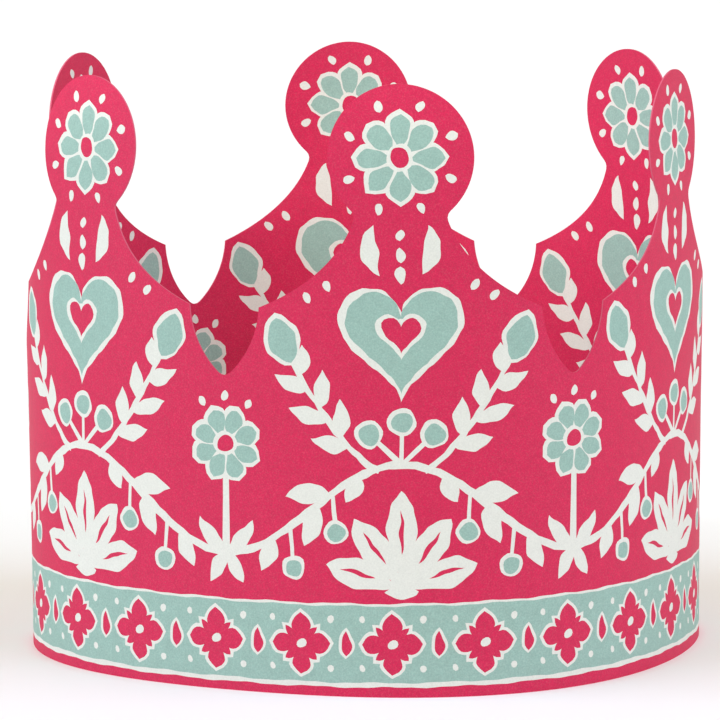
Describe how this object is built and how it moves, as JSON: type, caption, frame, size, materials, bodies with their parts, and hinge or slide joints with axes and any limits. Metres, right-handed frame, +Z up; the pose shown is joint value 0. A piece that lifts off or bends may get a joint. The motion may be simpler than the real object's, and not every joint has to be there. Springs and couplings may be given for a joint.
{
  "type": "paper crown",
  "caption": "Ring-shaped party crown of one sheet of printed card, with round-headed points and notches between them, closed by slits that slide into each other.",
  "frame": {"origin": "on the floor at the centre of the ring", "axes": "+Z up, out through the points; one point faces -Y, and the seam is near -X"},
  "size_m": [0.191, 0.191, 0.164],
  "materials": {
    "printed_card": "uncoated card, matt, printed crimson, mint and off-white on both faces"
  },
  "bodies": {
    "root": {"crown_band": "printed_card"}
  },
  "joints": []
}
